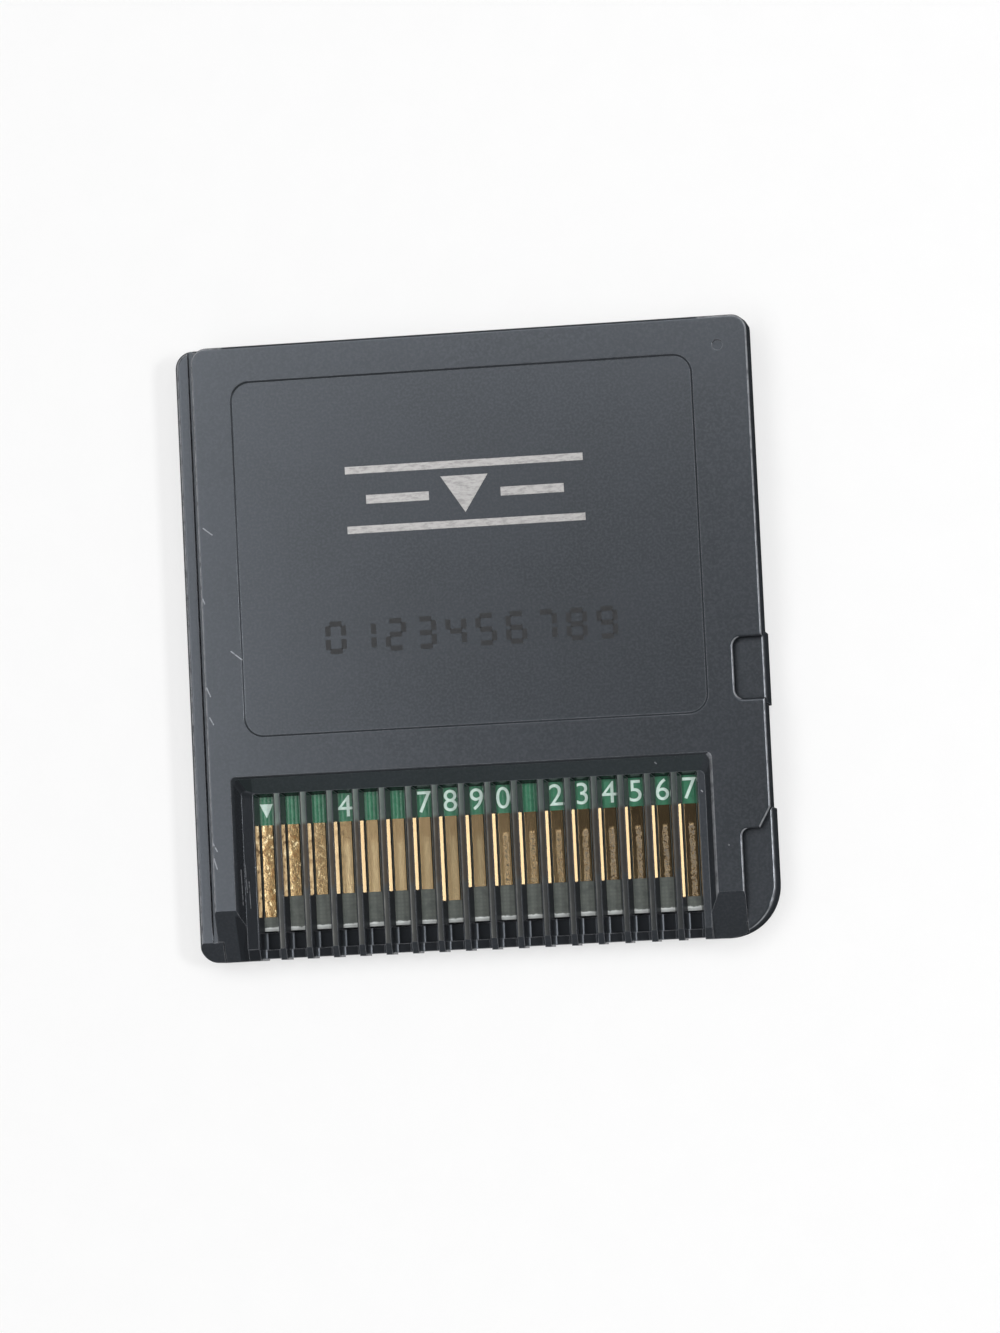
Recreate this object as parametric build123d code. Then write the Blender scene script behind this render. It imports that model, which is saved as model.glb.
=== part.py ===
from build123d import *

import math
import os

# Sizes are in millimetres. The card lies on its label side with its contacts facing up (+Z)
# and its contact end towards -Y. Seen from above, the narrow rail is on the left (-X).

# Contacts and the comb of ribs between them
contact_count = 17
contact_pitch = 1.51
contact_thickness = 0.06
contact_gap = 0.03
contact_roll = 0.05
contact_edge = 0.02
short_contact_setback = 1.95
long_contact_setback = 0.8
middle_contact_setback = 1.25
rib_width = 0.36
rib_height = 0.85
rib_draft = 12.0
rib_bevel = 0.04
rib_tip_length = 0.65
rib_foot_radius = 0.3

# Contact window in the back shell
window_length = 10.4
window_left_run = 0.44
window_right_run = 0.44
window_ramp_run = 0.95
window_depth = 0.55
window_step_run = 0.08
window_step_depth = 0.16
window_edge = 0.06
window_corner = 0.3
window_left_ledge = 0.68
window_left_drop = 0.1
window_right_ledge = 0.43
mask_length = 1.78

# Back shell
plate_wall = 0.6
plate_seat = 0.25
plate_side_inset = 0.08
plate_corner = 0.9
plate_edge = 0.15
frame_left = 1.04
frame_right = 1.06
frame_top = 0.8
skirt_wall = 0.6
shell_gap = 0.05
lead_length = 2.9
lead_right_length = 2.6
lead_angle = 25.9
bar_depth = 0.2
bar_length = 0.6
trench_depth = 0.45
comb_reach = 0.1

# Shallow panel and gate mark on the plateau
panel_length = 20.1
panel_depth = 0.07
panel_edge = 0.12
panel_corner = 1.0
panel_side = 3.38
panel_top = 2.15
panel_to_window = 2.35
gate_diameter = 0.6
gate_depth = 0.12
gate_from_right = 1.78
gate_from_top = 1.68

# Front shell
front_wall = 0.75
left_wall = 1.35
right_wall = 1.4
top_wall = 1.2
rail_width = 1.06
rail_corner = 1.0
top_right_corner = 0.9
end_left_corner = 1.0
end_right_corner = 3.0
rim_edge = 0.25
front_edge = 0.4
seam_width = 0.3
seam_depth = 0.2
side_relief = 0.18
seat_width = 0.8
nose_length = 1.55
sill_height = 0.25
label_depth = 0.15
label_side = 1.3
label_low = 1.8
label_high = 5.3
label_corner = 1.0
label_key_corner = 2.4

# Keyed notch and keyed ledge on the right side
notch_depth = 1.75
notch_length = 3.45
notch_from_end = 13.35
notch_corner = 0.5
notch_lip = 0.3
ledge_width = 1.75
ledge_length = 6.05
ledge_corner = 0.4
ledge_ramp_length = 1.15
ledge_ramp_width = 0.66
block_seat = 0.5

# Circuit board
board_thickness = 0.7
board_gap = 0.1
board_bevel = 0.15
board_margin = 1.3

# Locating pins and the ribs that back the contacts
pin_diameter = 1.2
pin_clearance = 0.1
pin_boss_wall = 0.6
pin_inset = 1.6
pin_to_chip = 1.3
pin_end_gap = 0.1
backing_rib_count = 5
backing_rib_width = 0.8
backing_rib_length = 5.0

# Chips and small parts on the label side of the board
chip_standoff = 0.08
chip_height = 0.75
chip_clearance = 0.12
memory_chip_width = 11.0
memory_chip_length = 8.0
memory_lead_count = 12
memory_lead_pitch = 0.6
save_chip_width = 4.4
save_chip_length = 4.0
save_lead_count = 3
save_lead_pitch = 1.2
chip_margin = 1.2
chip_spacing = 2.5
chip_to_window = 4.5
chip_corner = 0.15
lead_width = 0.25
lead_thickness = 0.12
lead_reach = 0.8
lead_foot = 0.4
passive_width = 1.0
passive_length = 0.5
passive_height = 0.4
passive_cap = 0.22
passive_cap_proud = 0.03
passive_pitch = 3.2
passive_to_chip = 1.6

# Levels, from the label face at z = 0 up to the plateau
floor_z = front_wall
board_low = floor_z + chip_clearance + chip_height + chip_standoff
board_high = board_low + board_thickness
rib_top = board_high + rib_height
plateau = rib_top + window_depth
plate_low = plateau - plate_wall
rim = plate_low - plate_seat
sill = floor_z + sill_height
bar_top = board_high - bar_depth
trench = bar_top - trench_depth

# Overall plan, worked out from the comb outwards
comb_width = contact_count * contact_pitch - rib_width
window_left_side = window_left_run + window_left_ledge
window_right_side = window_right_run + window_right_ledge
window_width = window_left_side + comb_width + window_right_side
left_border = left_wall + frame_left
right_border = ledge_width + block_seat + frame_right
card_width = left_border + window_width + right_border
card_length = panel_top + panel_length + panel_to_window + window_length
left = -card_width / 2
right = card_width / 2
end = -card_length / 2
top = card_length / 2

# Lines that several pieces share
window_left = left + left_border
window_right = right - right_border
window_top = end + window_length
window_foot_left = window_left + window_left_run
window_foot_right = window_right - window_right_run
comb_left = window_left + window_left_side
comb_centre = comb_left + comb_width / 2
slot_top = window_top - window_ramp_run
contact_top = slot_top - mask_length
notch_low = end + notch_from_end
notch_high = notch_low + notch_length
ledge_top = end + ledge_length
nose_inner = end + nose_length
board_end = nose_inner + board_gap
chip_low = window_top + chip_to_window
chip_high = chip_low + memory_chip_length
boss_diameter = pin_diameter + 2 * (pin_clearance + pin_boss_wall)
pin_y = chip_high + pin_to_chip + boss_diameter / 2
board_top = pin_y + boss_diameter / 2 + board_margin
pin_left = left + left_wall + seat_width + pin_inset
pin_right = right - right_wall - seat_width - pin_inset
slot_draft = math.tan(math.radians(rib_draft))
lead_steepness = math.tan(math.radians(lead_angle))
rail_tip_length = lead_length - (plateau - rim) / lead_steepness
contact_width = contact_pitch - rib_width - 2 * (rib_height * slot_draft + contact_gap)

# Margin by which cutting tools run past the faces that they cut
over = 1.0

os.makedirs("parts", exist_ok=True)


def save(shape, name):
    """Writes one piece to its own file."""
    shape.label = name
    export_step(shape, f"parts/{name}.step")


def area(x0, x1, y0, y1):
    """Rectangle between two corners."""
    return Pos((x0 + x1) / 2, (y0 + y1) / 2) * Rectangle(x1 - x0, y1 - y0)


def prism(outline, z0, z1):
    """Solid between two levels above a flat outline."""
    return extrude(Pos(0, 0, z0) * outline, amount=z1 - z0)


def rounded(outline, x, y, radius):
    """Rounds the corner of an outline that is nearest to a point."""
    corner = outline.vertices().sort_by_distance((x, y, 0))[0]
    return fillet(corner, radius)


def edges_at(solid, z):
    """Outer edges of the flat face at a level."""
    face = solid.faces().filter_by(Axis.Z).sort_by_distance((0, 0, z))[0]
    return face.outer_wire().edges()


def card_outline():
    """Outer outline of the card, with its four different corners."""
    outline = area(left, right, end, top)
    outline = rounded(outline, left, top, rail_corner)
    outline = rounded(outline, right, top, top_right_corner)
    outline = rounded(outline, left, end, end_left_corner)
    return rounded(outline, right, end, end_right_corner)


def plate_outline():
    """Outline of the plateau, beside the rail and clear of the notch and the ledge."""
    side = right - plate_side_inset
    ledge_side = right - ledge_width
    outline = area(left + rail_width, side, end, top)
    outline -= area(right - notch_depth, right, notch_low, notch_high)
    ledge = Polygon(
        (right, ledge_top + ledge_ramp_length),
        (side, ledge_top + ledge_ramp_length),
        (side - ledge_ramp_width, ledge_top),
        (ledge_side, ledge_top),
        (ledge_side, end),
        (right, end),
        align=None,
    )
    outline -= ledge
    outline = rounded(outline, left + rail_width, top, plate_corner)
    outline = rounded(outline, side, top, top_right_corner)
    outline = rounded(outline, right - notch_depth, notch_high, notch_corner)
    outline = rounded(outline, right - notch_depth, notch_low, notch_corner)
    outline = rounded(outline, ledge_side, ledge_top, ledge_corner)
    return outline & card_outline()


def cavity(inset):
    """Space inside the front shell's walls, drawn in from them by an inset."""
    notch_side = right - notch_depth - block_seat - inset
    ledge_side = right - ledge_width - block_seat - inset
    space = area(
        left + left_wall + inset,
        right - right_wall - inset,
        nose_inner + inset,
        top - top_wall - inset,
    )
    space -= area(
        notch_side,
        right,
        notch_low - block_seat - inset,
        notch_high + block_seat + inset,
    )
    return space - area(ledge_side, right, end, ledge_top + block_seat + inset)


def nose(inset, inner):
    """Gap between the front shell's walls at the contact end."""
    gap = area(left + left_wall + inset, right - ledge_width - inset, end, inner)
    return gap & card_outline()


def lead_in(x0, x1, length, z):
    """Wedge above a slope that runs down from a level and guides the contact end into a slot."""
    profile = Polygon(
        (end + length, z),
        (end + length, plateau + over),
        (end - over, plateau + over),
        (end - over, z - (length + over) * lead_steepness),
        align=None,
    )
    return extrude(Plane.YZ.offset(x0) * profile, amount=x1 - x0)


def slot_centres():
    """Centre lines of the contacts, from left to right."""
    first = comb_centre - (contact_count - 1) * contact_pitch / 2
    return [first + number * contact_pitch for number in range(contact_count)]


def slot_half_width(z):
    """Half the width of the gap between two ribs at a level."""
    return (contact_pitch - rib_width) / 2 - (rib_top - z) * slot_draft


def slot(x):
    """Gap between two ribs, tapered above the board, with bevelled tops, open at the contact end."""
    foot = slot_half_width(bar_top)
    shoulder = slot_half_width(rib_top - rib_bevel)
    mouth = slot_half_width(rib_top) + rib_bevel
    profile = Polygon(
        (x - foot, bar_top),
        (x + foot, bar_top),
        (x + shoulder, rib_top - rib_bevel),
        (x + mouth, rib_top),
        (x + mouth, rib_top + over),
        (x - mouth, rib_top + over),
        (x - mouth, rib_top),
        (x - shoulder, rib_top - rib_bevel),
        align=None,
    )
    return extrude(Plane.XZ.offset(-slot_top) * profile, amount=window_length + over)


def end_slot(x, floor, y0, y1):
    """Gap between two ribs beyond the board, with upright walls and rounded feet."""
    half = slot_half_width(rib_top)
    profile = area(x - half, x + half, floor, rib_top + over)
    profile = fillet(profile.vertices().group_by(Axis.Y)[0], rib_foot_radius)
    return extrude(Plane.XZ.offset(-y1) * profile, amount=y1 - y0)


def slot_heel():
    """Slope at the inner end of the slots, from the tops of the ribs down to the board."""
    profile = Polygon(
        (slot_top, rib_top),
        (slot_top - rib_height * slot_draft, board_high),
        (slot_top, board_high),
        align=None,
    )
    return extrude(Plane.YZ.offset(comb_left) * profile, amount=comb_width)


def window():
    """Opening with a bevelled edge, a steep step and sloping walls, down to the tops of the ribs."""
    step_low = plateau - window_step_depth
    share = window_left_drop / (step_low - rib_top)
    right_run_at_drop = window_right_run - share * (window_right_run - window_step_run)
    ramp_run_at_drop = window_ramp_run - share * (window_ramp_run - window_step_run)
    sections = []
    for left_run, right_run, ramp_run, z in (
        (window_left_side, window_right_run, window_ramp_run, rib_top),
        (window_left_run, right_run_at_drop, ramp_run_at_drop, rib_top + window_left_drop),
        (window_step_run, window_step_run, window_step_run, step_low),
        (0, 0, 0, plateau - window_edge),
        (-window_edge, -window_edge, -window_edge, plateau),
    ):
        x0 = window_left + left_run
        x1 = window_right - right_run
        y1 = window_top - ramp_run
        section = area(x0, x1, end - over, y1)
        for x in (x0, x1):
            section = rounded(section, x, y1, window_corner)
        sections.append(Pos(0, 0, z) * section)
    return loft(sections, ruled=True)


def panel():
    """Shallow panel with sloping edges, drawn on as far above the plateau as it lies below it."""
    sections = []
    for grow, z in ((0, plateau - panel_depth), (2 * panel_edge, plateau + panel_depth)):
        section = area(
            left + panel_side - grow,
            right - panel_side + grow,
            window_top + panel_to_window - grow,
            top - panel_top + grow,
        )
        sections.append(Pos(0, 0, z) * fillet(section.vertices(), panel_corner + grow))
    return loft(sections, ruled=True)


def pin_places():
    """The two locating pins, near the board's upper corners."""
    return (Pos(pin_left, pin_y), Pos(pin_right, pin_y))


def make_back_shell():
    """Cover with the plateau, the window and the comb of ribs."""
    plate = prism(plate_outline(), rim, plateau)
    plate = fillet(edges_at(plate, plateau), plate_edge)
    frame_area = cavity(shell_gap) & area(left, right, end, window_top + frame_top)
    frame_area += nose(shell_gap, nose_inner + shell_gap)
    hollow = cavity(shell_gap + skirt_wall) - frame_area
    skirt = cavity(shell_gap) - cavity(shell_gap + skirt_wall)
    shell = plate - prism(hollow, rim - over, plate_low)
    shell += prism(skirt, board_high, plate_low)
    shell += prism(frame_area, board_high, plate_low)
    shell += prism(nose(shell_gap, nose_inner), sill, plate_low)
    shell -= window()
    half = slot_half_width(rib_top)
    for x in slot_centres():
        shell -= slot(x)
        shell -= end_slot(x, bar_top, end - over, end + bar_length)
        shell -= end_slot(x, trench, end + bar_length, nose_inner)
        shell -= prism(area(x - half, x + half, end - over, end + comb_reach), sill - over, rib_top)
    shell += slot_heel()
    shell -= lead_in(left - over, window_foot_left, lead_length, plateau)
    shell -= lead_in(window_foot_left, window_foot_right, rib_tip_length, rib_top)
    shell -= lead_in(window_foot_right, right + over, lead_right_length, plateau)
    shell -= panel()
    gate = Pos(right - gate_from_right, top - gate_from_top) * Circle(gate_diameter / 2)
    shell -= prism(gate, plateau - gate_depth, plateau + over)
    for place in pin_places():
        socket = place * (Circle(boss_diameter / 2) - Circle(pin_diameter / 2 + pin_clearance))
        shell += prism(socket, board_high, plate_low)
    return shell


def make_front_shell():
    """Tray with the rail, the notch floor and the keyed ledge on its rim."""
    shell = prism(card_outline(), 0, rim)
    shell = fillet(edges_at(shell, rim), rim_edge)
    shell = fillet(edges_at(shell, 0), front_edge)
    shell -= prism(cavity(0), floor_z, rim + over)
    shell += prism(cavity(0) - cavity(seat_width), floor_z, board_low)
    mouth = area(left + left_wall, right - ledge_width, end - over, nose_inner + shell_gap)
    shell -= prism(mouth, sill, rim + over)
    reliefs = (
        (ledge_top + ledge_ramp_length, notch_low - notch_lip),
        (notch_high + notch_lip, top + over),
    )
    for low, high in reliefs:
        shell -= prism(area(right - side_relief, right + over, low, high), -over, rim + over)
    seam = area(left + rail_width - seam_width, left + rail_width, end + rail_tip_length, top + over)
    shell -= prism(seam, rim - seam_depth, rim + over)
    comb_side = comb_width / 2
    end_relief = area(comb_centre - comb_side, comb_centre + comb_side, end - over, end + comb_reach)
    shell -= prism(end_relief, -over, rim)
    shell -= lead_in(left - over, window_foot_left, lead_length, plateau)
    label = area(left + label_side, right - label_side, end + label_low, top - label_high)
    label = rounded(label, right - label_side, end + label_low, label_key_corner)
    for x, y in ((left, top), (right, top), (left, end)):
        label = rounded(label, x, y, label_corner)
    shell -= prism(label, -over, label_depth)
    spread = (comb_width - backing_rib_width) / (backing_rib_count - 1)
    first = comb_centre - (comb_width - backing_rib_width) / 2
    for number in range(backing_rib_count):
        x = first + number * spread
        half = backing_rib_width / 2
        rib = area(x - half, x + half, nose_inner, nose_inner + seat_width + backing_rib_length)
        shell += prism(rib, floor_z, board_low)
    for place in pin_places():
        shell += prism(place * Circle(boss_diameter / 2), floor_z, board_low)
        shell += prism(place * Circle(pin_diameter / 2), board_low, plate_low - pin_end_gap)
    return shell


def make_board():
    """Printed board that lies on the front shell's seat, bevelled at its contact end."""
    outline = cavity(board_gap) & area(left, right, end, board_top)
    board = prism(outline, board_low, board_high)
    bevelled = board.edges().filter_by(Axis.X).group_by(Axis.Y)[0]
    board = chamfer(bevelled, board_bevel)
    for place in pin_places():
        board -= prism(place * Circle(pin_diameter / 2 + pin_clearance), board_low - over, board_high + over)
    return board


def make_contact(number, x):
    """Contact strip with rolled long edges."""
    setback = short_contact_setback
    if number in (1, contact_count):
        setback = long_contact_setback
    if number == contact_count // 2:
        setback = middle_contact_setback
    half = contact_width / 2
    flat = half - contact_roll
    drop = contact_thickness - contact_edge
    radius = (contact_roll ** 2 + drop ** 2) / (2 * drop)
    outline = Polyline((-flat, contact_thickness), (flat, contact_thickness))
    outline += RadiusArc((flat, contact_thickness), (half, contact_edge), radius)
    outline += Polyline((half, contact_edge), (half, 0), (-half, 0), (-half, contact_edge))
    outline += RadiusArc((-half, contact_edge), (-flat, contact_thickness), radius)
    profile = make_face(outline)
    section = Plane((x, contact_top, board_high), x_dir=(1, 0, 0), z_dir=(0, -1, 0)) * profile
    return extrude(section, amount=contact_top - board_end - setback)


def make_chip(x, y, width, length):
    """Moulded package below the board, with clipped corners."""
    body = Pos(x, y, board_low - chip_standoff - chip_height / 2) * Box(width, length, chip_height)
    return chamfer(body.edges().filter_by(Axis.Z), chip_corner)


def make_leads(x, y, width, count, pitch):
    """Bent leads along both sides of a package, from its middle height up to the board."""
    middle = board_low - chip_standoff - chip_height / 2
    side = width / 2
    knee = side + lead_reach - lead_foot
    profile = Polygon(
        (side, middle - lead_thickness / 2),
        (knee, middle - lead_thickness / 2),
        (knee, board_low - lead_thickness),
        (side + lead_reach, board_low - lead_thickness),
        (side + lead_reach, board_low),
        (knee - lead_thickness, board_low),
        (knee - lead_thickness, middle + lead_thickness / 2),
        (side, middle + lead_thickness / 2),
        align=None,
    )
    lead = extrude(Plane.XZ * profile, amount=lead_width / 2, both=True)
    first = y - (count - 1) * pitch / 2
    leads = []
    for number in range(count):
        leads.append(Pos(x, first + number * pitch) * lead)
        leads.append(Pos(x, first + number * pitch) * mirror(lead, Plane.YZ))
    return Compound(children=leads)


def make_passive(x, y):
    """Chip capacitor or resistor with its two end caps."""
    half = passive_width / 2
    low = board_low - passive_height
    across = passive_length / 2
    body = prism(area(x - half, x + half, y - across, y + across), low, board_low)
    proud = passive_cap_proud
    for side in (-1, 1):
        cap = area(-passive_cap / 2, passive_cap / 2, -across - proud, across + proud)
        place = Pos(x + side * (half - passive_cap / 2), y)
        body += prism(place * cap, low - proud, board_low)
    return body


save(make_back_shell(), "back_shell")
save(make_front_shell(), "front_shell")
save(make_board(), "circuit_board")
for number, x in enumerate(slot_centres(), start=1):
    save(make_contact(number, x), f"contact_{number:02d}")

inner_left = left + left_wall + seat_width + chip_margin
memory_x = inner_left + lead_reach + memory_chip_width / 2
memory_y = chip_low + memory_chip_length / 2
save_x = memory_x + memory_chip_width / 2 + chip_spacing + 2 * lead_reach + save_chip_width / 2
save_y = chip_high - save_chip_length / 2
memory_leads = make_leads(memory_x, memory_y, memory_chip_width, memory_lead_count, memory_lead_pitch)
save_leads = make_leads(save_x, save_y, save_chip_width, save_lead_count, save_lead_pitch)
save(make_chip(memory_x, memory_y, memory_chip_width, memory_chip_length), "memory_chip")
save(memory_leads, "memory_chip_leads")
save(make_chip(save_x, save_y, save_chip_width, save_chip_length), "save_chip")
save(save_leads, "save_chip_leads")

passive_names = ("capacitor_1", "capacitor_2", "resistor_1", "resistor_2")
for place, name in enumerate(passive_names):
    save(make_passive(inner_left + lead_reach + place * passive_pitch, chip_low - passive_to_chip), name)
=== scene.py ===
import math

import bmesh
import bpy
from mathutils import Matrix, Vector


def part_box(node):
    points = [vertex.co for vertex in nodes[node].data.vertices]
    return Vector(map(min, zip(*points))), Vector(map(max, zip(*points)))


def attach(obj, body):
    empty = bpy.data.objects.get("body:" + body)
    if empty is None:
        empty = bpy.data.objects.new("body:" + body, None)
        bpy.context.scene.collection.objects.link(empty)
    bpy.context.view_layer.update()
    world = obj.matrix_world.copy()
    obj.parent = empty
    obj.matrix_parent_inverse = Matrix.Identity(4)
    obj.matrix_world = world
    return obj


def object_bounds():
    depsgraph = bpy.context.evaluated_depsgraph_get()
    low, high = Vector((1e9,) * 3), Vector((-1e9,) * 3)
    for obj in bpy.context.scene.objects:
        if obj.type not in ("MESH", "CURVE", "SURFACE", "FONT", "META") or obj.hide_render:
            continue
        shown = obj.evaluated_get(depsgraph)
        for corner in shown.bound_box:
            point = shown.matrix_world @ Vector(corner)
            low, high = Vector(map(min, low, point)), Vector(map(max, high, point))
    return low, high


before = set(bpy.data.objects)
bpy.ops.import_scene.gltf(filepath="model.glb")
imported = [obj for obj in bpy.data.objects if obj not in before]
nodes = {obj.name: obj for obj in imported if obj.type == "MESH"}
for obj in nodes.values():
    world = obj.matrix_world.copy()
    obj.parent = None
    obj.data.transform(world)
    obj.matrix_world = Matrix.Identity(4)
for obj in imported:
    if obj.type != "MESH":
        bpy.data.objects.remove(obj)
cad_low, cad_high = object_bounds()

# Places and sizes are in millimetres, from the same origin as the card. The frame is in metres.
mm = 0.001
contacts = sorted(name for name in nodes if name.startswith("contact_"))


def low(node):
    """Lowest corner of a node."""
    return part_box(node)[0] / mm


def high(node):
    """Highest corner of a node."""
    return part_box(node)[1] / mm


def middle_x(node):
    """Middle of a node from left to right."""
    return (low(node).x + high(node).x) / 2


def srgb(red, green, blue):
    """Colour given as screen values from 0 to 255."""
    def linear(value):
        share = value / 255
        return share / 12.92 if share <= 0.04045 else ((share + 0.055) / 1.055) ** 2.4
    return (linear(red), linear(green), linear(blue), 1.0)


# Lines of the card
right = cad_high.x / mm
top = cad_high.y / mm
plateau = cad_high.z / mm
board_top = high("circuit_board").z
board_end = low("circuit_board").y
first_contact = middle_x(contacts[0])
contact_top = high(contacts[0]).y
contact_pitch = middle_x(contacts[1]) - first_contact
contact_width = high(contacts[0]).x - low(contacts[0]).x
comb_left = first_contact - contact_pitch / 2
comb_right = middle_x(contacts[-1]) + contact_pitch / 2
rib_height = 0.85
rib_top = board_top + rib_height
window_reach = 2.73
window_top = contact_top + window_reach

# Shallow panel on the plateau
panel_margin = 3.38
panel_depth = 0.07
panel_right = right - panel_margin
panel_face = plateau - panel_depth

# Camera, turned from straight above the card
camera_distance = 280.0
camera_level = 1.9
camera_tilt = -3.734
camera_swing = -7.5
camera_roll = 2.731
camera_slide = (1.356, -1.409)
camera_lens = 133.1
camera_sensor = 36.0

# Studio. An edge of light is given by the parts of a direction between which it rises.
floor_size = 4000.0
floor_gap = 0.02
floor_white = 0.6
lamp_angle = 32.0
lamp_distance = 400.0
lamp_width = 50.0
lamp_length = 80.0
lamp_radiance = 40.0
ceiling_left_edge = (-0.104, -0.124)
ceiling_slant = 0.6
ceiling_top_edge = (0.08, 0.13)
ceiling_radiance = 0.48
softbox_left_edge = (-0.175, -0.195)
softbox_slant = 0.14
softbox_top_edge = (0.142, 0.164)
softbox_low_edge = (0.84, 0.9)
softbox_radiance = 5.0
right_edge = (-0.092, -0.075)
right_radiance = 0.16
dark_radiance = 0.05
side_edge = (0.93, 0.75)
side_radiance = 0.25
wall_edge = (0.2, 0.1)
wall_radiance = 0.85

# Prints
ink_thickness = 0.012
ink_seat = 0.002
digit_height = 1.75
digit_y = -9.55
digit_smoothness = 6
numbered_contacts = (4, 7, 8, 9, 10, 12, 13, 14, 15, 16, 17)
pin_mark_half_width = 0.38
pin_mark_top = -8.62
pin_mark_tip = -9.42
mark_y = 8.3
mark_triangle = (2.7, 2.1)
mark_rule = (13.6, 0.42)
mark_rule_spread = 3.4
mark_bar = (3.6, 0.5)
mark_bar_gap = 0.7
stamp_y = 0.55
stamp_digits = "0123456789"
stamp_pitch = 1.72
stamp_size = (1.2, 1.85)
stamp_stroke = 0.3
stamp_gap = 0.05

# Spans of the card, each by its two ends and by how far these are blurred
window_span = (comb_left - 1.1, comb_right + 0.9, 0.05)
slot_span = (comb_left + 0.1, comb_right, 0.05)
rib_span = (comb_left + 0.2, comb_right - 0.2, 0.1)
rib_top_span = (rib_top - 0.03, rib_top + 0.03, 0.01)
sheen_span = (-8.7, 0.1, 0.4)

# Zones of the card, each by the place where it starts and the place where it is full
window_from = (window_top, window_top - 0.1)
window_below = (plateau - 0.1, plateau - 0.2)
sunk_below = (board_top + 0.1, board_top - 0.1)
beside_contacts_from = (contact_top + 0.3, contact_top + 0.1)
beside_lacquer_from = (contact_top - 0.15, contact_top + 0.15)
gilt_ribs_from = (contact_top - 3.9, contact_top - 3.5)
left_wall_from = (comb_left + 0.2, comb_left + 0.1)
left_slope_from = (comb_left, comb_left - 0.2)
upper_end_from = (top - 8.0, top - 6.0)
outside_panel_from = (panel_right + 0.4, panel_right + 0.6)
below_panel_from = (contact_top + 4.0, contact_top + 3.8)
plateau_rim_from = (plateau - 0.2, plateau - 0.15)
lacquered_from = (contact_top - 0.06, contact_top - 0.02)
cut_end_from = (board_end + 0.38, board_end + 0.3)
tarnished_from = (-6.0, -11.5)
dark_reflection_from = (0.0, 9.0)
greyed_from = (4.5, 6.5)
sheen_from = (contact_top - 0.8, contact_top - 1.6)
rubbed_from = (contact_top - 1.0, contact_top - 1.3)
rubbed_right_from = (-0.3, 0.8)

# Turns of a face: the parts of its normal along an axis at which a zone starts and is full
level_turn = (0.97, 0.99)
sloping_turn = (0.97, 0.85)
upright_turn = (0.6, 0.8)
upper_slope_turn = (-0.3, -0.5)
left_slope_turn = (0.0, 0.1)
steep_turn = (0.5, 0.2)
glossy_turn = (0.45, 0.9)
sideways_turn = (0.15, 0.3)
tray_rim_turn = (0.75, 0.85)
plateau_rim_turn = (0.5, 0.68)

# Likeness of the rounded and the sharp normal at which the lightening of an edge, partly wear and
# partly painted highlight, starts and is full
edge_band_likeness = (0.99, 0.9)

# Ways from the middle of a contact or a rib at which a mark starts and is full
rib_shade_across = (0.0, 0.14)
rib_highlight_across = (-0.02, -0.12)
dulled_across = (-0.3, 0.05)
sheen_across = (0.32, 0.04)
rubbed_across = (0.38, 0.32)
track_across = (contact_width * 0.42, contact_width * 0.36)

# Sheen and rubbing lie a little to the right of a contact's middle. Some marks have ragged ends.
wear_shift = 0.06
rubbed_fraying = 0.42
cut_end_fraying = 0.24

# Glass weave of the board, by its angle in 1 mm, and ends of a small part, as shares of its width
weave_rate = 14.0
tinned_across = (0.27, 0.29)

# Values of a noise or a mask at which what follows it starts and is full
grain_spots = (0.35, 0.75)
tarnish_spots = (0.52, 0.62)
pale_spots = (0.43, 0.36)
off_left_slope = (0.5, 0.2)

# Strengths of marks, from 0 for none to 1 for full. A pair is for the two ends of what it follows.
grain_strength = 0.4
left_wall_shade = 0.8
upper_slope_green_reflection = 0.6
rib_tint_strength = (0.7, 1.0)
rib_tint_fading = (1.0, 0.45)
rib_shade_strength = 0.45
rib_highlight_strength = (0.1, 0.4)
sharp_edge_wear_and_highlight = 0.15
sharp_edge_wear_and_highlight_in_window = 0.35
sharp_edge_wear_and_highlight_in_patches = 0.55
round_edge_wear_and_highlight = (0.3, 0.8)
scratch_strength = 0.8
fine_scratch_strength = 0.4
dulled_strength = (0.4, 0.9)
tarnish_strength = (0.05, 0.85)
pale_strength = (0.05, 0.7)
dark_reflection_strength = 0.3
sheen_strength = (0.4, 0.9)
rubbed_strength = (0.06, 1.0)

# Finish of the shells, the contacts, the board, its small parts and the ink
bevel_samples = 6
edge_round = 0.06
edge_band_reach = 0.07
shell_roughness = (0.15, 0.21)
polished_roughness = 0.12
sunk_roughness = (0.36, 0.5)
side_roughness = 0.45
shell_shine = 0.6
window_wall_shine = 0.03
rib_shine = 0.2
sunk_shine = (1.0, 0.15)
texture_depth = 0.001
texture_left_by_polish = (1.0, 0.1)
gilt_roughness = (0.05, 0.1)
rubbed_roughness = 0.42
tarnish_roughness = 0.24
drawn_relief = 0.12
gilt_relief_depth = 0.003
board_roughness = (0.42, 0.12)
board_shine = 0.3
weave_depth = 0.004
ceramic_roughness = (0.35, 0.5)
ceramic_relief_depth = 0.003
worn_ink_roughening = 1.3

# Colours of the shells
plastic_dark = srgb(42, 45, 48)
plastic_light = srgb(45, 48, 52)
plastic_grain = srgb(58, 60, 64)
# Painted shade deep in the window and on its left wall
plastic_shaded = srgb(20, 22, 25)
# Painted reflection of the green lacquer on the walls beside it
plastic_painted_green_reflection = srgb(42, 62, 56)
# Light of scratches and of edges, partly wear and partly painted highlight
plastic_wear_and_highlight = srgb(150, 152, 156)
plastic_gloss = srgb(234, 243, 255)
# Rib top tints by the contacts and by the lacquer are painted reflections; the darkest rib colour is
# painted shade and the lightest a painted highlight.
rib_at_end = srgb(68, 68, 64)
rib_by_contacts = srgb(74, 63, 47)
rib_by_lacquer = srgb(104, 116, 109)
rib_painted_shade = srgb(24, 25, 26)
rib_painted_highlight = srgb(160, 160, 154)

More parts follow.
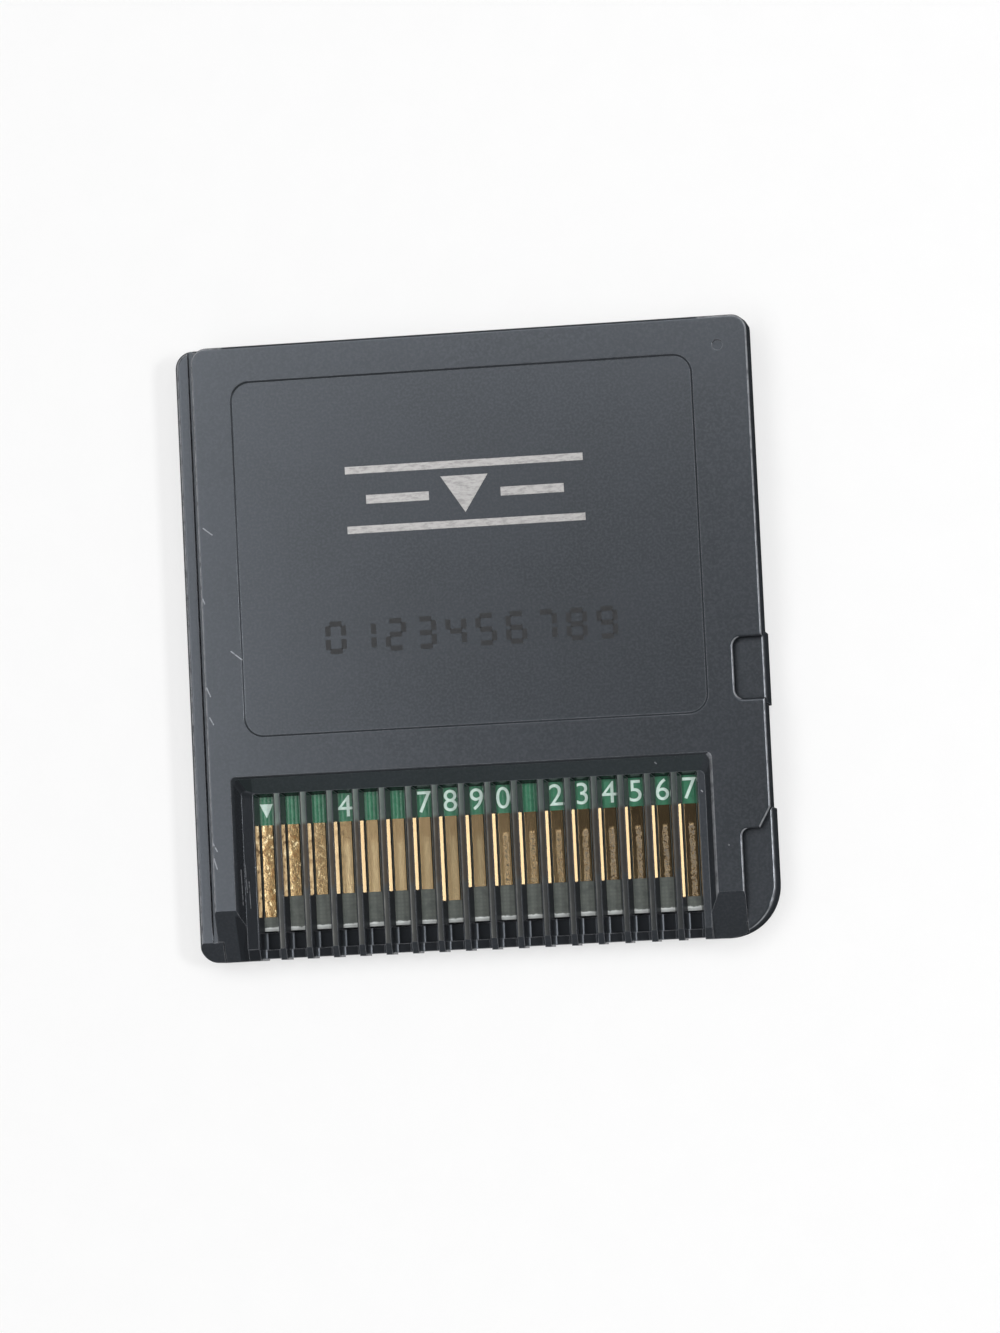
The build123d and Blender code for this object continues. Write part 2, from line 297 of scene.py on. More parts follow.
# Colours of the contacts
gilt_dark = srgb(212, 181, 134)
gilt_light = srgb(224, 195, 150)
gilt_dulled = srgb(112, 93, 63)
gilt_tarnished = srgb(92, 66, 38)
gilt_pale = srgb(226, 208, 168)
# Painted dark reflection on the contacts towards the right
gilt_painted_dark_reflection = srgb(124, 106, 80)
# Painted sheen on the middle contacts
gilt_sheen = srgb(242, 218, 172)
gilt_bared = srgb(64, 59, 49)
gilt_bared_grey = srgb(74, 71, 67)

# Colours of the board and of the small parts on it
lacquer = srgb(42, 96, 70)
lacquer_on_track = srgb(58, 119, 90)
lacquer_mottled = srgb(50, 106, 80)
laminate_dark = srgb(74, 80, 75)
laminate_light = srgb(84, 89, 83)
laminate_mottled = srgb(66, 72, 68)
laminate_cut = srgb(206, 210, 208)
capacitor_body = srgb(150, 112, 82)
resistor_body = srgb(38, 38, 42)
ceramic_mottled = srgb(120, 96, 78)
tinned_end = srgb(200, 200, 198)

# Light scratches on the plateau, each from one point to another
scratch_width = 0.09
scratches = (
    (-15.1, 7.2, -14.6, 6.8),
    (-15.35, 3.3, -15.2, 2.9),
    (-13.8, 0.1, -13.2, -0.4),
    (-15.3, -1.9, -15.1, -2.4),
    (-15.2, -3.6, -15.0, -4.0),
    (-15.35, -10.7, -15.1, -11.2),
    (-15.3, -11.6, -15.15, -12.2),
    (13.12, -10.46, 13.18, -10.54),
    (13.92, -12.27, 13.98, -12.33),
    (12.52, -9.17, 12.58, -9.23),
    (10.02, -7.47, 10.08, -7.53),
)

# Fine scratches down the left side of the window
fine_scratch_width = 0.06
fine_scratches = (
    (-13.84, -12.3, -13.8, -14.3),
    (-13.62, -11.9, -13.56, -13.6),
    (-13.44, -13.0, -13.4, -14.5),
)

# Strokes of a digit, as shares of its size: middle across, middle up, and whether it lies
stroke_places = {
    "top": (0.5, 1.0, True),
    "middle": (0.5, 0.5, True),
    "bottom": (0.5, 0.0, True),
    "upper_left": (0.0, 0.75, False),
    "upper_right": (1.0, 0.75, False),
    "lower_left": (0.0, 0.25, False),
    "lower_right": (1.0, 0.25, False),
}
digit_strokes = {
    "0": ("top", "bottom", "upper_left", "upper_right", "lower_left", "lower_right"),
    "1": ("upper_right", "lower_right"),
    "2": ("top", "upper_right", "middle", "lower_left", "bottom"),
    "3": ("top", "upper_right", "middle", "lower_right", "bottom"),
    "4": ("upper_left", "upper_right", "middle", "lower_right"),
    "5": ("top", "upper_left", "middle", "lower_right", "bottom"),
    "6": ("top", "upper_left", "middle", "lower_left", "lower_right", "bottom"),
    "7": ("top", "upper_right", "lower_right"),
    "8": tuple(stroke_places),
    "9": ("top", "upper_left", "upper_right", "middle", "lower_right", "bottom"),
}


class Nodes:
    """Shader nodes of a material or of the studio."""

    def __init__(self, tree):
        self.tree = tree
        self.tree.nodes.clear()

    def add(self, kind, **settings):
        """New node with the given settings."""
        node = self.tree.nodes.new(kind)
        for name, value in settings.items():
            setattr(node, name, value)
        return node

    def put(self, socket, value):
        """Links a value that comes from a node, and sets one that is a number or a colour."""
        if isinstance(value, bpy.types.NodeSocket):
            self.tree.links.new(value, socket)
        else:
            socket.default_value = value

    def split(self, vector):
        """The three parts of a vector."""
        node = self.add("ShaderNodeSeparateXYZ")
        self.put(node.inputs[0], vector)
        return node.outputs

    def math(self, operation, *values):
        """Sum, product or other operation on numbers."""
        node = self.add("ShaderNodeMath", operation=operation)
        for socket, value in zip(node.inputs, values):
            self.put(socket, value)
        return node.outputs[0]

    def plus(self, first, second):
        """Sum of two numbers."""
        return self.math("ADD", first, second)

    def unsigned(self, value):
        """A number without its sign."""
        return self.math("ABSOLUTE", value)

    def most(self, *values):
        """The largest of several numbers."""
        result = values[0]
        for value in values[1:]:
            result = self.math("MAXIMUM", result, value)
        return result

    def times(self, *values):
        """Product of several numbers."""
        result = values[0]
        for value in values[1:]:
            result = self.math("MULTIPLY", result, value)
        return result

    def ramp(self, value, start, stop, low=0.0, high=1.0):
        """Smooth rise from low to high while a value goes from start to stop."""
        node = self.add("ShaderNodeMapRange", interpolation_type="SMOOTHSTEP")
        for socket, number in zip(node.inputs, (value, start, stop, low, high)):
            self.put(socket, number)
        return node.outputs["Result"]

    def inside(self, value, start, stop, soft):
        """1 while a value lies between two limits, with soft ends."""
        rise = self.ramp(value, start - soft, start + soft)
        fall = self.ramp(value, stop - soft, stop + soft, 1.0, 0.0)
        return self.times(rise, fall)


class Look(Nodes):
    """One procedural material. Places in it are in millimetres, in the card's own frame."""

    def __init__(self, name):
        self.material = bpy.data.materials.new(name)
        self.material.use_nodes = True
        super().__init__(self.material.node_tree)
        coordinates = self.add("ShaderNodeTexCoord").outputs
        self.generated = coordinates["Generated"]
        self.place = self.vector("SCALE", coordinates["Object"], scale=1 / mm)
        self.x, self.y, self.z = self.split(self.place)

    def vector(self, operation, *values, scale=None):
        """Operation on vectors."""
        node = self.add("ShaderNodeVectorMath", operation=operation)
        for socket, value in zip(node.inputs, values):
            self.put(socket, value)
        if scale is not None:
            self.put(node.inputs["Scale"], scale)
        return node.outputs["Value" if operation in ("DOT_PRODUCT", "DISTANCE") else "Vector"]

    def noise(self, scale, detail=2.0, stretch=(1, 1, 1), rough=0.5):
        """Noise with the given number of features in a millimetre."""
        node = self.add("ShaderNodeTexNoise")
        self.put(node.inputs["Vector"], self.vector("MULTIPLY", self.place, stretch))
        self.put(node.inputs["Scale"], scale)
        self.put(node.inputs["Detail"], detail)
        self.put(node.inputs["Roughness"], rough)
        return node.outputs["Fac"]

    def blotches(self, start, stop, **pattern):
        """Noise that rises from 0 at one of its values to 1 at another."""
        return self.ramp(self.noise(**pattern), start, stop)

    def mix(self, share, first, second):
        """Colour between two colours."""
        node = self.add("ShaderNodeMix", data_type="RGBA")
        self.put(node.inputs["Factor"], share)
        self.put(node.inputs[6], first)
        self.put(node.inputs[7], second)
        return node.outputs[2]

    def between(self, share, first, second):
        """Number between two numbers."""
        node = self.add("ShaderNodeMix", data_type="FLOAT")
        self.put(node.inputs["Factor"], share)
        self.put(node.inputs[2], first)
        self.put(node.inputs[3], second)
        return node.outputs[0]

    def from_nearest(self, place):
        """Way to the right from a place, or from the nearest one that is whole contact pitches away."""
        way = self.math("SUBTRACT", self.x, place - contact_pitch / 2)
        return self.math("SUBTRACT", self.math("FLOORED_MODULO", way, contact_pitch), contact_pitch / 2)

    def rounded_normal(self, radius):
        """Normal of the piece as if its edges were rounded."""
        node = self.add("ShaderNodeBevel", samples=bevel_samples)
        self.put(node.inputs["Radius"], radius * mm)
        return node.outputs[0]

    def edge_band(self, reach):
        """1 along the edges of the piece, within a reach of them."""
        sharp = self.add("ShaderNodeNewGeometry").outputs["Normal"]
        likeness = self.vector("DOT_PRODUCT", self.rounded_normal(reach), sharp)
        return self.ramp(likeness, *edge_band_likeness)

    def strokes(self, segments, width):
        """1 along straight strokes, each from one point of the plan to another."""
        flat = self.vector("MULTIPLY", self.place, (1, 1, 0))
        found = []
        for x0, y0, x1, y1 in segments:
            start = Vector((x0, y0, 0))
            along = Vector((x1, y1, 0)) - start
            length = along.length
            from_start = self.vector("SUBTRACT", flat, start)
            travel = self.vector("DOT_PRODUCT", from_start, along / length)
            travel = self.math("MINIMUM", self.most(travel, 0.0), length)
            nearest = self.vector("SCALE", along / length, scale=travel)
            found.append(self.ramp(self.vector("DISTANCE", from_start, nearest), width / 2, width / 4))
        return self.most(*found)

    def bump(self, height, depth, edge=None):
        """Normal of a surface with a relief of the given depth and softened edges."""
        node = self.add("ShaderNodeBump")
        self.put(node.inputs["Strength"], 1.0)
        self.put(node.inputs["Distance"], depth * mm)
        self.put(node.inputs["Height"], height)
        if edge is not None:
            self.put(node.inputs["Normal"], self.rounded_normal(edge))
        return node.outputs[0]

    def shader(self, **values):
        """Shader with the given values."""
        node = self.add("ShaderNodeBsdfPrincipled")
        for name, value in values.items():
            self.put(node.inputs[name.replace("_", " ")], value)
        return node.outputs[0]

    def finish(self, shader):
        """The material, finished with a shader."""
        output = self.add("ShaderNodeOutputMaterial")
        self.put(output.inputs["Surface"], shader)
        return self.material

    def surface(self, **values):
        """The material, finished with a shader of the given values."""
        return self.finish(self.shader(**values))


class ShellLook(Look):
    """Material of a shell, with a mask for each zone of the card."""

    def __init__(self, name):
        super().__init__(name)
        self.facing = self.split(self.add("ShaderNodeNewGeometry").outputs["Normal"])
        self.grain = self.noise(scale=7.0, detail=2.0)
        self.patches = self.blotches(start=0.3, stop=0.6, scale=1.6, detail=4.0, rough=0.7)
        self.level = self.ramp(self.facing[2], *level_turn)
        self.in_window = self.times(
            self.inside(self.x, *window_span),
            self.ramp(self.y, *window_from),
            self.ramp(self.z, *window_below),
        )
        self.slots = self.times(self.in_window, self.ramp(self.facing[2], *sloping_turn))
        self.slot_walls = self.times(
            self.ramp(self.unsigned(self.facing[0]), *upright_turn),
            self.inside(self.x, *slot_span),
        )
        beside_contacts = self.ramp(self.y, *beside_contacts_from)
        self.polished = self.times(self.slots, self.most(beside_contacts, self.slot_walls))
        self.sunk = self.times(self.in_window, self.ramp(self.z, *sunk_below))
        self.on_ribs = self.times(
            self.level,
            self.inside(self.x, *rib_span),
            self.inside(self.z, *rib_top_span),
        )
        self.left_wall = self.times(self.in_window, self.ramp(self.x, *left_wall_from))
        self.beside_lacquer = self.ramp(self.y, *beside_lacquer_from)

    def moulded_colour(self):
        """Grained dark grey, with painted shade deep in the window and on its left wall, and a painted
        green reflection of the lacquer on the walls and slope beside it.
        """
        cloudy = self.blotches(start=0.3, stop=0.7, scale=0.22, detail=3.0)
        colour = self.mix(cloudy, plastic_dark, plastic_light)
        grain = self.times(self.ramp(self.grain, *grain_spots), grain_strength)
        colour = self.mix(grain, colour, plastic_grain)
        # Painted shade: the level floor deep in the window and the window's left wall are darkened.
        sunk_floor = self.times(self.sunk, self.level)
        shaded = self.most(sunk_floor, self.times(self.left_wall, left_wall_shade))
        colour = self.mix(shaded, colour, plastic_shaded)
        # Painted reflection: beside the lacquer the slot walls and the slope above the comb take its
        # green.
        upper_slope = self.times(self.ramp(self.facing[1], *upper_slope_turn), upper_slope_green_reflection)
        green = self.times(self.slots, self.beside_lacquer, self.most(self.slot_walls, upper_slope))
        return self.mix(green, colour, plastic_painted_green_reflection)

    def rib_wear_and_painted_light(self, colour):
        """Colour with rib tops in rubbed streaks, tinted with painted reflections of the gilt and
        lacquer beside them, with a painted highlight along their left edges and painted shade along
        their right ones.
        """
        lengthwise = (1.0, 0.3, 1.0)
        streaks = self.blotches(
            start=0.3, stop=0.7, scale=2.6, detail=4.0, stretch=lengthwise, rough=0.7
        )
        # Painted reflection: rib tops take a brown tint beside the contacts and a light green one
        # beside the lacquer, fading to the right.
        worn = self.mix(self.ramp(self.y, *gilt_ribs_from), rib_at_end, rib_by_contacts)
        worn = self.mix(self.beside_lacquer, worn, rib_by_lacquer)
        fading = self.ramp(self.x, comb_left, comb_right, *rib_tint_fading)
        rubbed = self.times(self.on_ribs, fading, self.between(streaks, *rib_tint_strength))
        colour = self.mix(rubbed, colour, worn)
        across = self.from_nearest(comb_left)
        # Painted shade along the right edge of each rib top.
        painted_shade_edge = self.times(self.on_ribs, self.ramp(across, *rib_shade_across), rib_shade_strength)
        colour = self.mix(painted_shade_edge, colour, rib_painted_shade)
        # Painted highlight along the left edge of each rib top.
        painted_highlight_edge = self.times(
            self.on_ribs,
            self.ramp(across, *rib_highlight_across),
            self.between(streaks, *rib_highlight_strength),
            fading,
        )
        return self.mix(painted_highlight_edge, colour, rib_painted_highlight)

    def turned_sideways(self):
        """1 on faces that turn to the left or right, or at the upper end towards that end."""
        upwards = self.times(self.facing[1], self.ramp(self.y, *upper_end_from))
        return self.ramp(self.most(self.unsigned(self.facing[0]), upwards), *sideways_turn)

    def rubbed_and_highlit_edges(self, rounded):
        """1 where edges are painted light, partly as wear and partly as a highlight, given where they
        are rounded.
        """
        # Painted highlight and wear: sharp edges, more in the window and in patches, and rounded rims
        # are lightened.
        least = self.between(self.in_window, sharp_edge_wear_and_highlight, sharp_edge_wear_and_highlight_in_window)
        wear = self.between(self.patches, least, sharp_edge_wear_and_highlight_in_patches)
        sharp = self.times(self.edge_band(edge_band_reach), wear)
        return self.most(sharp, self.times(rounded, self.between(self.patches, *round_edge_wear_and_highlight)))

    def roughness(self):
        """Fine mould texture, smoother in the slots, rougher deep in the window and on the sides."""
        plain = self.between(self.grain, *shell_roughness)
        rough = self.between(self.polished, plain, polished_roughness)
        rough = self.between(self.sunk, rough, self.between(self.level, *sunk_roughness))
        matt = self.between(self.in_window, side_roughness, 0.0)
        return self.most(rough, self.times(self.ramp(self.facing[2], *steep_turn), matt))

    def shine(self):
        """Gloss: full on faces turned up and on slopes deep in the window, little on walls and ribs."""
        on_walls = self.times(self.in_window, window_wall_shine)
        shine = self.ramp(self.facing[2], *glossy_turn, on_walls, shell_shine)
        shine = self.between(self.on_ribs, shine, rib_shine)
        return self.between(self.sunk, shine, self.between(self.level, *sunk_shine))

    def plastic(self, rubbed):
        """The material, finished as moulded plastic that is lightened in places by scratches, wear and
        painted highlights on edges.
        """
        colour = self.rib_wear_and_painted_light(self.moulded_colour())
        texture = self.noise(scale=9.0, detail=3.0)
        relief = self.times(texture, self.between(self.polished, *texture_left_by_polish))
        return self.surface(
            Base_Color=self.mix(rubbed, colour, plastic_wear_and_highlight),
            Roughness=self.roughness(),
            Specular_IOR_Level=self.shine(),
            Specular_Tint=plastic_gloss,
            Normal=self.bump(relief, texture_depth, edge=edge_round),
        )


def back_plastic():
    """Dark grey plastic of the cover, scratched, and lightened along the edges of the plateau, partly
    wear and partly painted highlight.
    """
    look = ShellLook("shell_plastic_back")
    outside_panel = look.most(
        look.ramp(look.unsigned(look.x), *outside_panel_from),
        look.ramp(look.y, *below_panel_from),
    )
    left_slope = look.times(
        look.ramp(look.x, *left_slope_from),
        look.ramp(look.facing[0], *left_slope_turn),
    )
    # Painted highlight and wear along the rounded rim of the plateau
    rounded = look.times(
        look.turned_sideways(),
        look.ramp(look.facing[2], *plateau_rim_turn),
        outside_panel,
        look.ramp(left_slope, *off_left_slope),
        look.ramp(look.z, *plateau_rim_from),
    )
    broken = look.blotches(start=0.3, stop=0.5, scale=5.0, detail=2.0)
    rubbed = look.most(
        look.rubbed_and_highlit_edges(rounded),
        look.times(look.strokes(scratches, scratch_width), broken, scratch_strength),
        look.times(look.strokes(fine_scratches, fine_scratch_width), broken, fine_scratch_strength),
    )
    return look.plastic(rubbed)


def front_plastic():
    """Dark grey plastic of the tray, lightened along its edges, most on the rounded ones, partly wear
    and partly painted highlight.
    """
    look = ShellLook("shell_plastic_front")
    # Painted highlight and wear along the rounded rim of the tray
    rounded = look.times(look.turned_sideways(), look.ramp(look.facing[2], *tray_rim_turn))
    return look.plastic(look.rubbed_and_highlit_edges(rounded))


def contact_gilt():
    """Gilt: drawn lengthwise, tarnished in spots on the left, rubbed by springs on the right, with a
    painted sheen down some contacts and painted dark reflection towards the right.
    """
    look = Look("contact_gilt")
    across = look.from_nearest(first_contact)
    drawn = look.noise(scale=5.0, detail=3.0, stretch=(3.0, 0.25, 1.0))
    spots = look.noise(scale=4.2, detail=4.0, stretch=(1.0, 0.8, 1.0), rough=0.65)
    colour = look.mix(drawn, gilt_dark, gilt_light)
    left_side = look.ramp(look.x, *tarnished_from)
    dulled = look.times(left_side, look.ramp(across, *dulled_across, *dulled_strength))
    colour = look.mix(dulled, colour, gilt_dulled)
    tarnish = look.times(look.ramp(spots, *tarnish_spots), look.between(left_side, *tarnish_strength))
    colour = look.mix(tarnish, colour, gilt_tarnished)
    pale = look.times(look.ramp(spots, *pale_spots), look.between(left_side, *pale_strength))
    colour = look.mix(pale, colour, gilt_pale)
    # Painted dark reflection: contacts towards the right turn browner.
    painted_dark_reflection = look.times(look.ramp(look.x, *dark_reflection_from), dark_reflection_strength)
    colour = look.mix(painted_dark_reflection, colour, gilt_painted_dark_reflection)
    from_middle = look.unsigned(look.math("SUBTRACT", across, wear_shift))
    # Painted sheen: a lengthwise highlight down the middle of the contacts from the fourth to the
    # ninth.
    sheen = look.times(
        look.ramp(from_middle, *sheen_across),
        look.ramp(look.y, *sheen_from),
        look.inside(look.x, *sheen_span),
        look.between(drawn, *sheen_strength),
    )
    colour = look.mix(sheen, colour, gilt_sheen)
    fraying = look.times(look.noise(scale=4.5, detail=5.0, rough=0.75), rubbed_fraying)
    rubbed = look.times(
        look.ramp(look.plus(from_middle, fraying), *rubbed_across),
        look.ramp(look.y, *rubbed_from),
        look.ramp(look.x, *rubbed_right_from, *rubbed_strength),
        look.blotches(start=0.42, stop=0.56, scale=12.0, detail=4.0, rough=0.75),
    )
    bared = look.mix(look.ramp(look.x, *greyed_from), gilt_bared, gilt_bared_grey)
    roughness = look.between(rubbed, look.between(drawn, *gilt_roughness), rubbed_roughness)
    relief = look.plus(look.times(drawn, drawn_relief), look.times(spots, left_side))
    return look.surface(
        Base_Color=look.mix(rubbed, colour, bared),
        Metallic=1.0,
        Roughness=look.most(roughness, look.times(tarnish, tarnish_roughness)),
        Normal=look.bump(relief, gilt_relief_depth),
    )


def board_laminate():
    """Printed board: green lacquer over copper tracks, bare glass laminate below the contacts."""
    look = Look("board_laminate")
    track = look.ramp(look.unsigned(look.from_nearest(first_contact)), *track_across)
    green = look.mix(track, lacquer, lacquer_on_track)
    green = look.mix(look.blotches(start=0.4, stop=0.7, scale=3.0, detail=3.0), green, lacquer_mottled)
    weave = look.times(
        look.unsigned(look.math("SINE", look.times(look.x, weave_rate))),
        look.unsigned(look.math("SINE", look.times(look.y, weave_rate))),
    )
    bare = look.mix(weave, laminate_dark, laminate_light)
    bare = look.mix(look.blotches(start=0.45, stop=0.7, scale=2.2, detail=4.0), bare, laminate_mottled)
    lacquered = look.ramp(look.y, *lacquered_from)
    colour = look.mix(lacquered, bare, green)
    fraying = look.times(look.noise(scale=4.0, detail=3.0), cut_end_fraying)
    cut_end = look.ramp(look.plus(look.y, fraying), *cut_end_from)
    return look.surface(
        Base_Color=look.mix(cut_end, colour, laminate_cut),
        Roughness=look.between(lacquered, *board_roughness),
        Specular_IOR_Level=board_shine,
        Normal=look.bump(weave, weave_depth),
    )


def mottled(name, pattern, colours, roughness, depth, **values):
    """Material that changes in blotches between two colours and two degrees of roughness."""
    look = Look(name)
    patches = look.blotches(**pattern)
    return look.surface(
        Base_Color=look.mix(patches, *colours),
        Roughness=look.between(patches, *roughness),
        Normal=look.bump(patches, depth),
        **values,
    )


def ink(name, colours, roughness, shine):
    """Printed ink, thinner where it has worn."""
    return mottled(
        name,
        pattern=dict(start=0.35, stop=0.65, scale=5.0, detail=4.0, rough=0.65),
        colours=colours,
        roughness=(roughness, roughness * worn_ink_roughening),
        depth=0.001,
        Specular_IOR_Level=shine,
    )


def silver_print():
    """Hot-stamped silver foil with fine rubbing."""
    return mottled(
        "silver_print",
        pattern=dict(start=0.4, stop=0.7, scale=4.0, detail=4.0, stretch=(0.5, 1.5, 1.0), rough=0.7),
        colours=(srgb(136, 135, 134), srgb(114, 113, 113)),
        roughness=(0.28, 0.42),
        depth=0.002,
        Metallic=1.0,
    )


def chip_resin():
    """Black moulded package with a fine speckle."""
    return mottled(
        "chip_resin",
        pattern=dict(start=0.45, stop=0.7, scale=9.0, detail=3.0),
        colours=(srgb(26, 27, 29), srgb(44, 45, 48)),
        roughness=(0.45, 0.6),
        depth=0.004,
    )


def lead_metal():
    """Tinned leads, dulled in places."""
    return mottled(
        "lead_metal",
        pattern=dict(start=0.4, stop=0.7, scale=5.0, detail=3.0),
        colours=(srgb(205, 205, 202), srgb(160, 160, 158)),
        roughness=(0.28, 0.45),
        depth=0.003,
        Metallic=1.0,
    )


def chip_part(name, body):
    """Small ceramic part with tinned ends."""
    look = Look(name)
    from_middle = look.unsigned(look.math("SUBTRACT", look.split(look.generated)[0], 0.5))
    tinned = look.ramp(from_middle, *tinned_across)
    patches = look.blotches(start=0.35, stop=0.7, scale=6.0, detail=3.0)
    colour = look.mix(patches, body, ceramic_mottled)
    return look.surface(
        Base_Color=look.mix(tinned, colour, tinned_end),
        Metallic=tinned,
        Roughness=look.between(patches, *ceramic_roughness),
        Normal=look.bump(patches, ceramic_relief_depth),
    )


def place_piece(name, mesh, material):
    """Puts a mesh into the scene as a piece that moves with the card."""
    mesh.materials.clear()
    mesh.materials.append(material)
    piece = bpy.data.objects.new(name, mesh)
    bpy.context.scene.collection.objects.link(piece)
    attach(piece, "root")


def prism(name, outlines, base, material):
    """Thin printed piece with one or more outlines, standing on a level."""
    mesh = bpy.data.meshes.new(name)
    shape = bmesh.new()
    for outline in outlines:
        corners = [shape.verts.new((x * mm, y * mm, (base - ink_seat) * mm)) for x, y in outline]
        face = shape.faces.new(corners)
        raised = bmesh.ops.extrude_face_region(shape, geom=[face])["geom"]
        moved = [item for item in raised if isinstance(item, bmesh.types.BMVert)]
        bmesh.ops.translate(shape, verts=moved, vec=(0, 0, (ink_seat + ink_thickness) * mm))
    bmesh.ops.recalc_face_normals(shape, faces=shape.faces)
    shape.to_mesh(mesh)
    shape.free()
    place_piece(name, mesh, material)


def rectangle(x, y, width, height):
    """Corners of a rectangle about a point."""
    half, tall = width / 2, height / 2
    return ((x - half, y - tall), (x + half, y - tall), (x + half, y + tall), (x - half, y + tall))


def make_insertion_mark(material):
    """Silver triangle that points to the contact end, between bars and two rules."""
    width, height = mark_triangle
    half, upper = width / 2, mark_y + height / 2
    outlines = [((-half, upper), (0, upper - height), (half, upper))]
    for side in (-1, 1):
        x = side * (half + mark_bar_gap + mark_bar[0] / 2)
        outlines.append(rectangle(x, mark_y, *mark_bar))
        outlines.append(rectangle(0, mark_y + side * mark_rule_spread / 2, *mark_rule))
    prism("insertion_mark", outlines, panel_face, material)


def make_pin_mark(material):
    """White triangle that points to the first contact."""
    left_corner = (first_contact - pin_mark_half_width, pin_mark_top)
    right_corner = (first_contact + pin_mark_half_width, pin_mark_top)
    outline = (left_corner, (first_contact, pin_mark_tip), right_corner)
    prism("first_pin_mark", [outline], board_top, material)


def make_pin_digit(number, material):
    """Last digit of a contact's number, printed above the contact."""
    name = f"pin_digit_{number:02d}"
    text = bpy.data.curves.new(name, "FONT")
    text.body = str(number % 10)
    text.size = digit_height * mm
    text.align_x = "CENTER"
    text.extrude = ink_thickness * mm
    text.resolution_u = digit_smoothness
    source = bpy.data.objects.new(name + "_text", text)
    mesh = bpy.data.meshes.new_from_object(source)
    bpy.data.objects.remove(source)
    x = middle_x(contacts[number - 1])
    mesh.transform(Matrix.Translation(Vector((x, digit_y, board_top)) * mm))
    place_piece(name, mesh, material)


def make_stamp(material):
    """Row of plain digits, stamped in dark ink."""
    wide = stamp_size[0] - stamp_stroke
    tall = stamp_size[1] - stamp_stroke
    first = -(len(stamp_digits) - 1) * stamp_pitch / 2
    outlines = []
    for place, digit in enumerate(stamp_digits):
        for stroke in digit_strokes[digit]:
            across, up, lying = stroke_places[stroke]
            x = first + place * stamp_pitch + (across - 0.5) * wide
            y = stamp_y + (up - 0.5) * tall
            length = (wide if lying else tall / 2) - stamp_stroke / 2 - stamp_gap
            size = (length, stamp_stroke) if lying else (stamp_stroke, length)
            outlines.append(rectangle(x, y, *size))
    prism("stamped_digits", outlines, panel_face, material)


def dress():
    """Gives every node its material."""
    looks = {
        "back_shell": back_plastic(),
        "front_shell": front_plastic(),
        "circuit_board": board_laminate(),
        "contact": contact_gilt(),
        "leads": lead_metal(),
        "chip": chip_resin(),
        "capacitor": chip_part("capacitor_ceramic", capacitor_body),
        "resistor": chip_part("resistor_ceramic", resistor_body),
    }
    for name, node in nodes.items():
        kind = next(word for word in looks if word in name)
        node.data.materials.clear()
        node.data.materials.append(looks[kind])


def make_camera():
    """Camera high above the card, turned a little from straight above."""
    turn = Matrix.Rotation(math.radians(camera_roll), 3, "Z")
    turn = turn @ Matrix.Rotation(math.radians(camera_tilt), 3, "X")
    turn = turn @ Matrix.Rotation(math.radians(camera_swing), 3, "Y")
    turn = turn.transposed()
    camera = bpy.data.cameras.new("camera")
    camera.lens = camera_lens
    camera.sensor_width = camera_sensor
    camera.clip_start = mm
    eye = turn @ Vector((*camera_slide, camera_distance)) + Vector((0, 0, camera_level))
    stand = bpy.data.objects.new("camera", camera)
    stand.matrix_world = Matrix.Translation(eye * mm) @ turn.to_4x4()
    bpy.context.scene.collection.objects.link(stand)
    bpy.context.scene.camera = stand


def make_floor():
    """White paper floor under the card."""
    look = Look("floor")
    fibres = look.blotches(start=0.3, stop=0.7, scale=0.4, detail=4.0)
    paper = look.shader(
        Base_Color=look.mix(fibres, srgb(249, 249, 249), srgb(251, 251, 251)),
        Roughness=1.0,
        Specular_IOR_Level=0.0,
    )
    path = look.add("ShaderNodeLightPath").outputs
    seen = look.most(path["Is Camera Ray"], path["Is Glossy Ray"], path["Is Transmission Ray"])
    blend = look.add("ShaderNodeMixShader")
    look.put(blend.inputs[0], look.times(seen, floor_white))
    look.put(blend.inputs[1], paper)
    look.put(blend.inputs[2], look.add("ShaderNodeEmission").outputs[0])
    mesh = bpy.data.meshes.new("floor")
    half = floor_size / 2 * mm
    level = -floor_gap * mm
    corners = [(-half, -half, level), (half, -half, level), (half, half, level), (-half, half, level)]
    mesh.from_pydata(corners, [], [(0, 1, 2, 3)])
    mesh.materials.append(look.finish(blend.outputs[0]))
    floor = bpy.data.objects.new("floor", mesh)
    bpy.context.scene.collection.objects.link(floor)


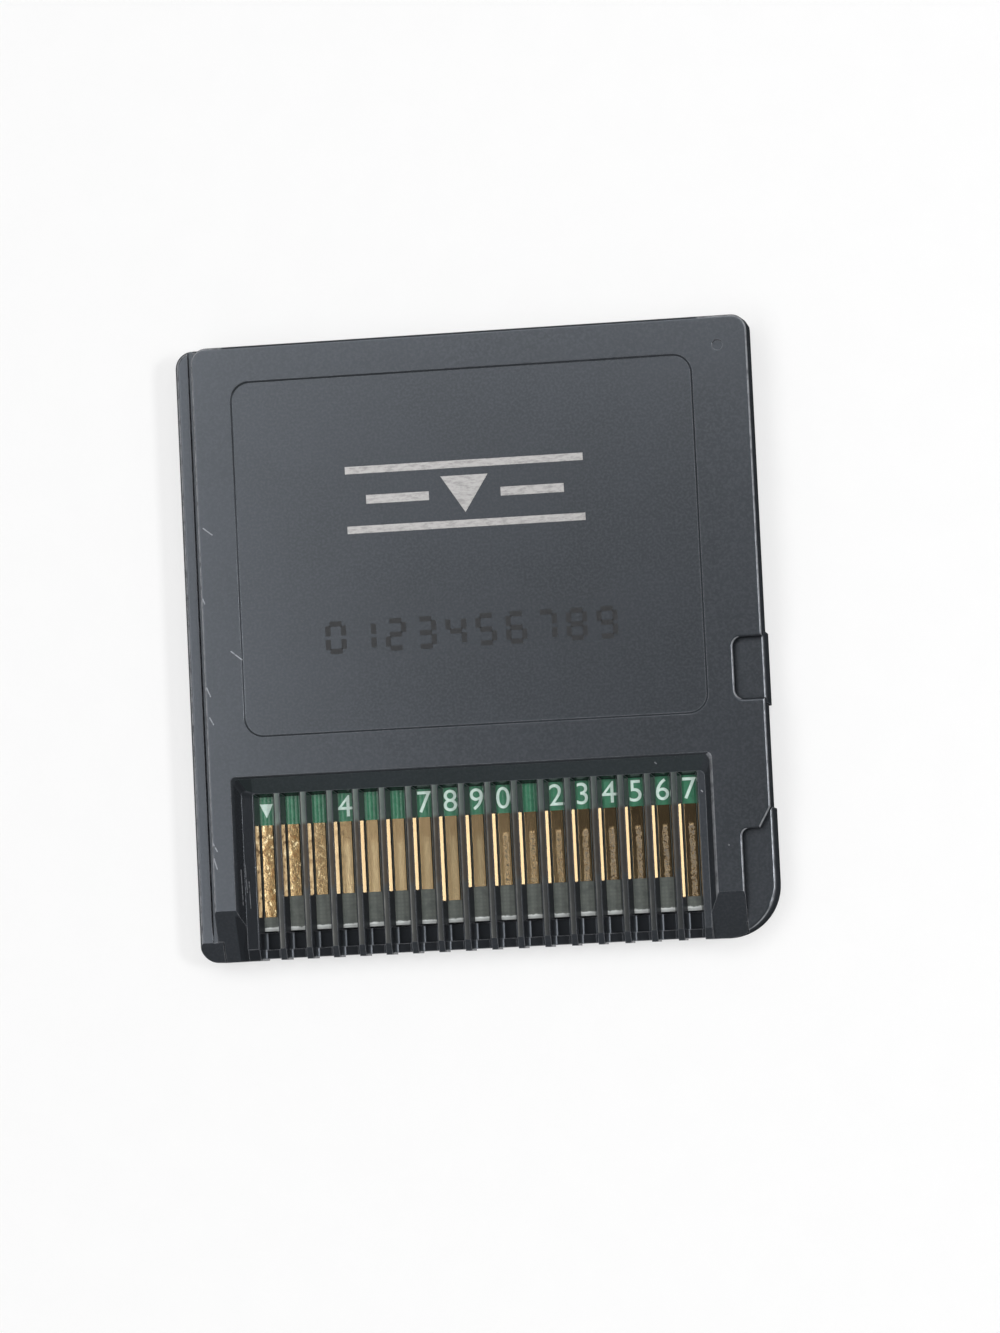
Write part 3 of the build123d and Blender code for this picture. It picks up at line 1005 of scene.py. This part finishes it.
def make_lamp():
    """Small bright lamp on the right."""
    lamp = bpy.data.lights.new("right_lamp", "AREA")
    lamp.shape = "RECTANGLE"
    lamp.size = lamp_width * mm
    lamp.size_y = lamp_length * mm
    lamp.energy = lamp_radiance * math.pi * lamp.size * lamp.size_y
    stand = bpy.data.objects.new("right_lamp", lamp)
    lean = Matrix.Rotation(math.radians(lamp_angle), 4, "Y")
    stand.matrix_world = lean @ Matrix.Translation((0, 0, lamp_distance * mm))
    stand.visible_camera = False
    bpy.context.scene.collection.objects.link(stand)


def make_world():
    """Studio round the card: soft light on the left and behind, dim overhead, pale at the floor."""
    world = bpy.data.worlds.new("studio")
    bpy.context.scene.world = world
    world.use_nodes = True
    sky = Nodes(world.node_tree)
    x, y, z = sky.split(sky.add("ShaderNodeTexCoord").outputs["Generated"])
    ceiling_side = sky.plus(x, sky.times(y, ceiling_slant))
    ceiling = sky.most(sky.ramp(ceiling_side, *ceiling_left_edge), sky.ramp(y, *ceiling_top_edge))
    softbox_side = sky.plus(x, sky.times(y, softbox_slant))
    softbox = sky.most(sky.ramp(softbox_side, *softbox_left_edge), sky.ramp(y, *softbox_top_edge))
    above = sky.plus(sky.times(ceiling, ceiling_radiance), sky.times(softbox, softbox_radiance))
    above = sky.plus(above, sky.ramp(x, *right_edge, 0.0, right_radiance))
    above = sky.times(above, sky.ramp(z, *softbox_low_edge))
    sides = sky.ramp(z, *side_edge, dark_radiance, side_radiance)
    walls = sky.ramp(z, *wall_edge, 0.0, wall_radiance - side_radiance)
    background = sky.add("ShaderNodeBackground")
    sky.put(background.inputs["Strength"], sky.most(above, sky.plus(sides, walls)))
    output = sky.add("ShaderNodeOutputWorld")
    sky.put(output.inputs["Surface"], background.outputs[0])


dress()
white_ink = ink("board_ink", (srgb(190, 216, 206), srgb(208, 228, 219)), roughness=0.4, shine=0.5)
dark_ink = ink("stamp_ink", (srgb(26, 28, 31), srgb(34, 36, 39)), roughness=0.3, shine=0.25)
make_insertion_mark(silver_print())
make_stamp(dark_ink)
make_pin_mark(white_ink)
for number in numbered_contacts:
    make_pin_digit(number, white_ink)

make_camera()
make_floor()
make_lamp()
make_world()
bpy.context.scene.view_settings.view_transform = "Standard"
